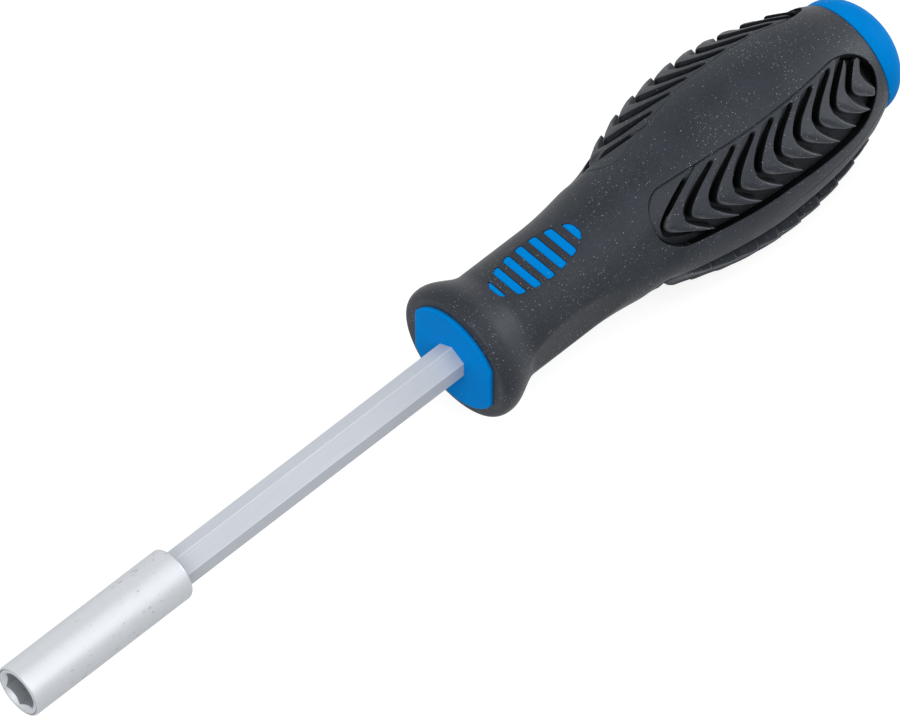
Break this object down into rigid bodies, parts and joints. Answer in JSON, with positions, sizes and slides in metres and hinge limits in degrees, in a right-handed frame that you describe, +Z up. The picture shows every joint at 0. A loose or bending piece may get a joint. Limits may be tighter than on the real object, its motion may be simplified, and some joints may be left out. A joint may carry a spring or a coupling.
{
  "type": "bit driver handle",
  "caption": "Hand driver with a soft ribbed handle, a fixed hexagon blade and a magnetic sleeve whose hexagon socket takes quarter-inch screwdriver bits.",
  "frame": {"origin": "on the blade's axis, on the face of the magnet at the bottom of the socket, where a bit stands", "axes": "+X along the blade from the tip to the end cap, +Z up through the wide smooth band of the handle, +Y to the right of a user who looks towards the tip"},
  "size_m": [0.2038, 0.034, 0.0328],
  "materials": {
    "sleeve_steel": "satin nickel-plated steel with light scuffs",
    "blade_steel": "matt plated hexagon bar",
    "magnet": "plated magnet face",
    "blue_plastic": "smooth moulded hard plastic",
    "black_grip": "fine-grained soft-touch elastomer",
    "black_ribs": "soft-touch elastomer ribs"
  },
  "bodies": {
    "root": {"bit_sleeve": "sleeve_steel", "socket_magnet": "magnet", "hex_shaft": "blade_steel", "handle_core": "blue_plastic", "grip_body": "black_grip", "rib_panel_upper_right": "black_ribs", "rib_panel_upper_left": "black_ribs", "rib_panel_lower_right": "black_ribs", "rib_panel_lower_left": "black_ribs", "end_cap": "blue_plastic"}
  },
  "joints": []
}
